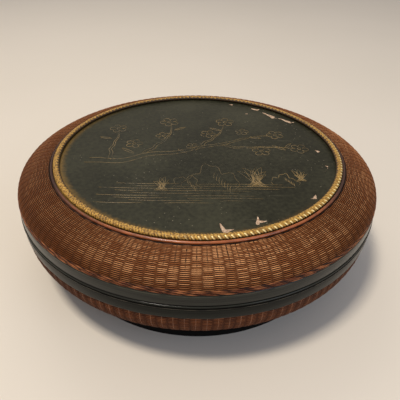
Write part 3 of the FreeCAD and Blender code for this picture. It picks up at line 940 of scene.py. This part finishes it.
def worn_gold(name):
    """Gold lacquer rubbed thin: dull gold where it holds, and the board's own olive where it has gone."""
    material, shader, place = finish(name, 0.42)
    gold_shown = (place.cloud(40, 3.0) * 0.6 + place.cloud(420, 3.0) * 0.6).step(0.38, 0.66)
    gold_shown.blend(paint(52, 49, 33), paint(126, 102, 56)).into(shader, "Base Color")
    return material


LINE_WIDTH = 0.85 * MM
line_foot = board_high.z - 0.3 * MM
line_crest = board_high.z + 0.06 * MM
drawing = line_mesh("gold_drawing", strokes, LINE_WIDTH, line_foot, line_crest)
fitted(drawing, worn_gold("drawn_gold"), "lid", "panel_lacquer", crease=180)

# Cane trim: a ring of round cane, dyed red-brown and polished, glued into the angle between the shoulder and
# the board's ring to cover the joint.
cane_low, cane_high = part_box("cane_trim_ring")
cane_half = (cane_high.z - cane_low.z) / 2
cane_radius = cane_high.x - cane_half
cane_level = cane_low.z + cane_half


def cane_points(radius, level, half, section=14):
    """Grid of points of a ring of cane: a circle carried round Z, whose size swells slightly as sines."""
    turn = np.linspace(0, 2 * np.pi, 2 * AROUND, endpoint=False)[:, None]
    around = np.linspace(0, 2 * np.pi, section, endpoint=False)[None, :]
    thick = half * (0.94 + 0.04 * np.sin(9 * turn) + 0.02 * np.sin(31 * turn + 1))
    out = radius + thick * np.cos(around)
    return np.stack([out * np.cos(turn), out * np.sin(turn), level + thick * np.sin(around)], axis=-1)


def polished_cane(name):
    """Red-brown cane, streaked, glossier in front, with painted light in front and painted shade darker away
    from there.
    """
    material, shader, place = finish(name, 0.3, coat_roughness=0.15)
    tone = place.cloud(24, 4.0) * 0.6 + place.cloud(180, 3.0) * 0.4
    bright = tone.step(0.3, 0.7).blend(paint(92, 43, 17), paint(172, 93, 44))
    # Front of the box, which is lit: painted light there and painted shade away from it, with a glossier
    # coat in front.
    lit_side = place.axis(1).step(-0.06, -0.12)
    lit_side.blend(paint(50, 24, 11), bright).into(shader, "Base Color")
    (0.2 * lit_side).into(shader, "Coat Weight")
    (0.8 - 0.5 * lit_side).into(shader, "Roughness")
    place.cloud(300).relief(shader, 0.05 * MM)
    return material


cane_ring = ring_mesh("cane_ring", cane_points(cane_radius, cane_level, cane_half))
fitted(cane_ring, polished_cane("cane_red"), "lid", "polished_cane", "cane_trim_ring", crease=180)

# Rope border: a flattened two-strand cord, gilded over a brown ground, laid on the board's edge with its two
# ends butted. The gilding shows on the crests, and brown painted shade fills the grooves and the inner
# flank.
ROPE_WIDTH = 5.8 * MM
ROPE_LAYS = 348
ROPE_SECTION = 24
ROPE_STEPS = 5
ROPE_GROOVE = 0.24
ROPE_JOINT = math.radians(-17.7)
rope_low, rope_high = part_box("gilt_rope_border")
rope_half = (rope_high.z - rope_low.z) / 2
rope_radius = rope_high.x - ROPE_WIDTH / 2
rope_level = rope_low.z + rope_half
rope_size = (rope_radius, rope_level, ROPE_WIDTH / 2, rope_half)
rope_cut = (ROPE_GROOVE, ROPE_SECTION)
rope_points, rope_stand = twisted_ring(*rope_size, ROPE_LAYS, *rope_cut, per_lay=ROPE_STEPS, flat=0.2)
rope_tip = twisted_ring(*rope_size, ROPE_LAYS // 2, *rope_cut, per_lay=2 * ROPE_STEPS)[1]


def gilding(name):
    """Old gilding: gold on the crests, brown painted shade in the grooves and on the inner flank, dirt in
    patches.

    Every other strand has a painted highlight where it turns down on the outside, on the front and right,
    which are lit; away from there the gilding is pitted. A dark line marks where the ends meet.
    """
    material, shader, place = finish(name, 0.4, specular=0.4)
    stand = place.kept("stand")
    tip = place.kept("tip")
    x = place.axis(0)
    y = place.axis(1)
    inward = (rope_radius - (x * x + y * y).math("SQRT")) / (ROPE_WIDTH / 2)
    patch = place.cloud(60, 4.0)
    fleck = place.cloud(620, 2.0)
    # Front and right, which are lit: painted highlights go there, and pits stay away from it.
    lit_side = (x - 0.35 * y + 0.03 * (patch - 0.5)).step(0.0, 0.08)
    # Painted shadow on the inner flank, serrated at every other strand.
    inner_shadow = inward + 0.55 * (1.0 - tip) + 0.3 * (fleck - 0.5)
    pits = place.cloud(800, 1.0).step(0.42, 0.32) * (1.0 - lit_side)
    # Gold shows except in the brown painted shade of the grooves and inner flank, and in pits.
    gold_shown = (stand + 1.1 * (fleck - 0.5)).step(-0.05, 0.3) * inner_shadow.step(0.95, 0.6) * (1.0 - pits)
    gold = (stand * 0.3 + 1.9 * (fleck - 0.5)).step(-0.2, 0.7).blend(paint(118, 82, 26), paint(206, 162, 76))
    dirty = patch.step(0.5, 0.7) * 0.6
    # Painted highlight on every other strand's outer crest, on the lit side.
    rubbed = tip.step(0.84, 0.97) * inward.step(-0.25, -0.5) * lit_side
    gold = (rubbed * 0.85).blend(dirty.blend(gold, paint(112, 80, 34)), paint(252, 228, 160))
    joint = (y * math.cos(ROPE_JOINT)).near(x * math.sin(ROPE_JOINT), 0.7 * MM, 0.3 * MM)
    gold_shown = gold_shown * (1.0 - joint * x.step(0.0, 0.01))
    gold_shown.blend(paint(54, 36, 16), gold).into(shader, "Base Color")
    (gold_shown * 0.2).into(shader, "Metallic")
    (0.58 - 0.2 * rubbed).into(shader, "Roughness")
    fleck.relief(shader, 0.2 * MM)
    return material


rope = ring_mesh("rope_border", rope_points, stand=rope_stand, tip=rope_tip)
fitted(rope, gilding("rope_gold"), "lid", "gilt_rope", "gilt_rope_border", crease=180)

# Stage: a plain pale floor, a pale surrounding light, a warm lamp above, a little to the front and left, a
# cool one at the right like a window, and a weak one behind.


def floor_finish(name):
    """Plain pale floor, warm white."""
    material, shader, place = finish(name, 0.6, specular=0.2)
    place.cloud(3, 2.0).blend(paint(216, 206, 189), paint(222, 212, 196)).into(shader, "Base Color")
    return material


FLOOR_HALF = 6.0
corners = FLOOR_HALF * np.array([(-1, -1, 0), (1, -1, 0), (1, 1, 0), (-1, 1, 0)])
floor_mesh = quad_mesh("floor", corners, np.array([[0, 1, 2, 3]]))
floor_mesh.materials.append(floor_finish("floor_white"))
floor = bpy.data.objects.new("floor", floor_mesh)
bpy.context.scene.collection.objects.link(floor)

# The surrounding light is grey, but looks as pale as the floor where it is seen or mirrored.
world = bpy.data.worlds.new("surround")
world.use_nodes = True
ray = Tone(world.node_tree, None)
in_view = ray.node("ShaderNodeLightPath", {}, {}, output="Is Camera Ray")
mirrored = ray.node("ShaderNodeLightPath", {}, {}, output="Is Glossy Ray")
through = ray.node("ShaderNodeLightPath", {}, {}, output="Is Transmission Ray")
seen = in_view.most(mirrored, through)
seen.blend(paint(163, 163, 171), paint(221, 212, 199)).into(world.node_tree.nodes["Background"], "Color")
bpy.context.scene.world = world


def lamp(name, place, size, power, colour):
    """Large square lamp at a place, facing the box."""
    light = bpy.data.lights.new(name, "AREA")
    light.size = size
    light.energy = power
    light.color = colour
    made = bpy.data.objects.new(name, light)
    made.location = place
    made.rotation_euler = (-made.location).to_track_quat("-Z", "Y").to_euler()
    bpy.context.scene.collection.objects.link(made)


lamp("lamp_above", place=(-0.4, -0.46, 1.8), size=0.3, power=23.5, colour=(1.0, 0.925, 0.83))
lamp("lamp_window", place=(0.9, -0.9, 0.7), size=0.8, power=4.5, colour=(0.58, 0.73, 1.0))
lamp("lamp_back", place=(-0.3, 0.9, 1.3), size=0.9, power=4, colour=(1.0, 0.96, 0.9))

# Camera: held in front of the box and above it, looking down, and turned and rolled very slightly.
# The focal length is in pixels of the image.
IMAGE = 400
FOCAL = 430
CAMERA_PLACE = (0.0, -0.3713, 0.3044)
camera_data = bpy.data.cameras.new("camera")
camera_data.lens = camera_data.sensor_width * FOCAL / IMAGE
camera = bpy.data.objects.new("camera", camera_data)
down = math.radians(34.81)
aside = math.radians(0.41)
roll = math.radians(1.04)
ahead = np.array([math.sin(aside) * math.cos(down), math.cos(aside) * math.cos(down), -math.sin(down)])
level_right = np.array([math.cos(aside), -math.sin(aside), 0.0])
level_up = np.cross(level_right, ahead)
right = math.cos(roll) * level_right + math.sin(roll) * level_up
up = math.cos(roll) * level_up - math.sin(roll) * level_right
facing = Matrix(np.stack([right, up, -ahead], -1).tolist())
camera.matrix_world = Matrix.LocRotScale(CAMERA_PLACE, facing, None)
bpy.context.scene.collection.objects.link(camera)
bpy.context.scene.camera = camera
bpy.context.scene.view_settings.view_transform = "Standard"
